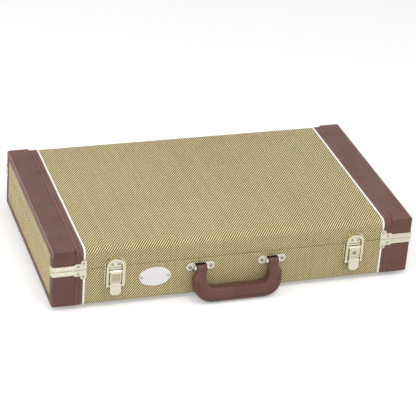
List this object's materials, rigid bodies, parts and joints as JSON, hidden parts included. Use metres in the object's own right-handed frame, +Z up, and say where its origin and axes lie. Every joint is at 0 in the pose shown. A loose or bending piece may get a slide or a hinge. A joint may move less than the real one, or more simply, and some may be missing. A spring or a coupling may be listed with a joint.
{
  "type": "guitar pedal case",
  "caption": "Flat wooden carrying case with a hinged lid, tweed covering, leatherette ends, draw latches, corner fittings and a swinging handle.",
  "frame": {"origin": "on the plane that the feet stand on, under the middle of the whole footprint from the handle's front to the hinges' backs, which is 10.5 mm in front of the body's own middle", "axes": "+X along the long side to the right, -Y to the front with the handle and latches, +Z up"},
  "size_m": [0.6034, 0.3795, 0.1092],
  "materials": {
    "plywood": "plain sanded plywood",
    "tweed": "coated diagonal twill, cream and dark brown",
    "brown_leatherette": "satin grained leatherette",
    "white_piping": "smooth welt",
    "pale_brass": "polished pale brass plate",
    "pale_nickel": "pale nickel plate",
    "brown_grip": "smooth moulded leatherette",
    "steel_core": "plain steel strap",
    "white_badge": "smooth white enamel, bare",
    "black_rubber": "matt rubber",
    "plush_lining": "short dark plush"
  },
  "bodies": {
    "root": {"base_front_board": "plywood", "base_back_board": "plywood", "base_end_boards": "plywood", "base_bottom_board": "plywood", "base_tweed_wrap": "tweed", "base_bottom_cover": "tweed", "base_tweed_ends": "tweed", "base_end_cap_left": "brown_leatherette", "base_end_cap_right": "brown_leatherette", "base_piping": "white_piping", "base_fitting_front_left": "pale_brass", "base_fitting_front_right": "pale_brass", "base_fitting_back_left": "pale_brass", "base_fitting_back_right": "pale_brass", "latch_left_base_plate": "pale_brass", "latch_right_base_plate": "pale_brass", "latch_lever_pins": "pale_brass", "handle_bracket_left": "pale_nickel", "handle_bracket_right": "pale_nickel", "handle_pins": "pale_nickel", "handle_screws": "pale_nickel", "hinge_base_leaves": "pale_brass", "hinge_pins": "pale_brass", "hinge_base_screws": "pale_brass", "badge_plate": "white_badge", "feet": "black_rubber", "base_alignment_lip": "plush_lining", "base_wall_lining": "plush_lining", "pedal_floor_pad": "plush_lining", "base_rivets": "pale_brass"},
    "lid": {"lid_front_board": "plywood", "lid_back_board": "plywood", "lid_end_boards": "plywood", "lid_top_board": "plywood", "lid_tweed_wrap": "tweed", "lid_tweed_ends": "tweed", "lid_end_cap_left": "brown_leatherette", "lid_end_cap_right": "brown_leatherette", "lid_piping": "white_piping", "lid_fitting_front_left": "pale_brass", "lid_fitting_front_right": "pale_brass", "lid_fitting_back_left": "pale_brass", "lid_fitting_back_right": "pale_brass", "latch_left_catch_plate": "pale_brass", "latch_right_catch_plate": "pale_brass", "hinge_lid_leaves": "pale_brass", "hinge_lid_screws": "pale_brass", "lid_wall_lining": "plush_lining", "lid_foam_pad": "plush_lining", "lid_rivets": "pale_brass"},
    "handle": {"handle_grip": "brown_grip", "handle_core": "steel_core"},
    "latch_left_lever_body": {"latch_left_lever": "pale_brass", "latch_left_hasp_pin": "pale_brass"},
    "latch_left_hasp_body": {"latch_left_hasp": "pale_brass"},
    "latch_right_lever_body": {"latch_right_lever": "pale_brass", "latch_right_hasp_pin": "pale_brass"},
    "latch_right_hasp_body": {"latch_right_hasp": "pale_brass"},
    "lock_plug_body": {"latch_lock_plug": "pale_brass"}
  },
  "joints": [
    {"name": "lid_hinge", "type": "hinge", "parent": "root", "child": "lid", "pos_m": [0, 0.1866, 0.073], "axis": [-1, 0, 0], "range_deg": [0, 100]},
    {"name": "handle_swing", "type": "hinge", "parent": "root", "child": "handle", "pos_m": [0, -0.1685, 0.0585], "axis": [-1, 0, 0], "range_deg": [0, 160]},
    {"name": "latch_left_lever_pivot", "type": "hinge", "parent": "root", "child": "latch_left_lever_body", "pos_m": [-0.2, -0.1666, 0.066], "axis": [-1, 0, 0], "range_deg": [0, 110]},
    {"name": "latch_left_hasp_pivot", "type": "hinge", "parent": "latch_left_lever_body", "child": "latch_left_hasp_body", "pos_m": [-0.2, -0.1666, 0.041], "axis": [-1, 0, 0], "range_deg": [-137.5, 0]},
    {"name": "latch_right_lever_pivot", "type": "hinge", "parent": "root", "child": "latch_right_lever_body", "pos_m": [0.2, -0.1666, 0.066], "axis": [-1, 0, 0], "range_deg": [0, 110]},
    {"name": "latch_right_hasp_pivot", "type": "hinge", "parent": "latch_right_lever_body", "child": "latch_right_hasp_body", "pos_m": [0.2, -0.1666, 0.041], "axis": [-1, 0, 0], "range_deg": [-137.5, 0]},
    {"name": "lock_turn", "type": "hinge", "parent": "latch_right_lever_body", "child": "lock_plug_body", "pos_m": [0.2, -0.1691, 0.0575], "axis": [0, -1, 0], "range_deg": [0, 90]}
  ],
  "couplings": [
    {"joint": "latch_left_hasp_pivot", "follows": "latch_left_lever_pivot", "ratio": -1.25},
    {"joint": "latch_right_hasp_pivot", "follows": "latch_right_lever_pivot", "ratio": -1.25}
  ]
}
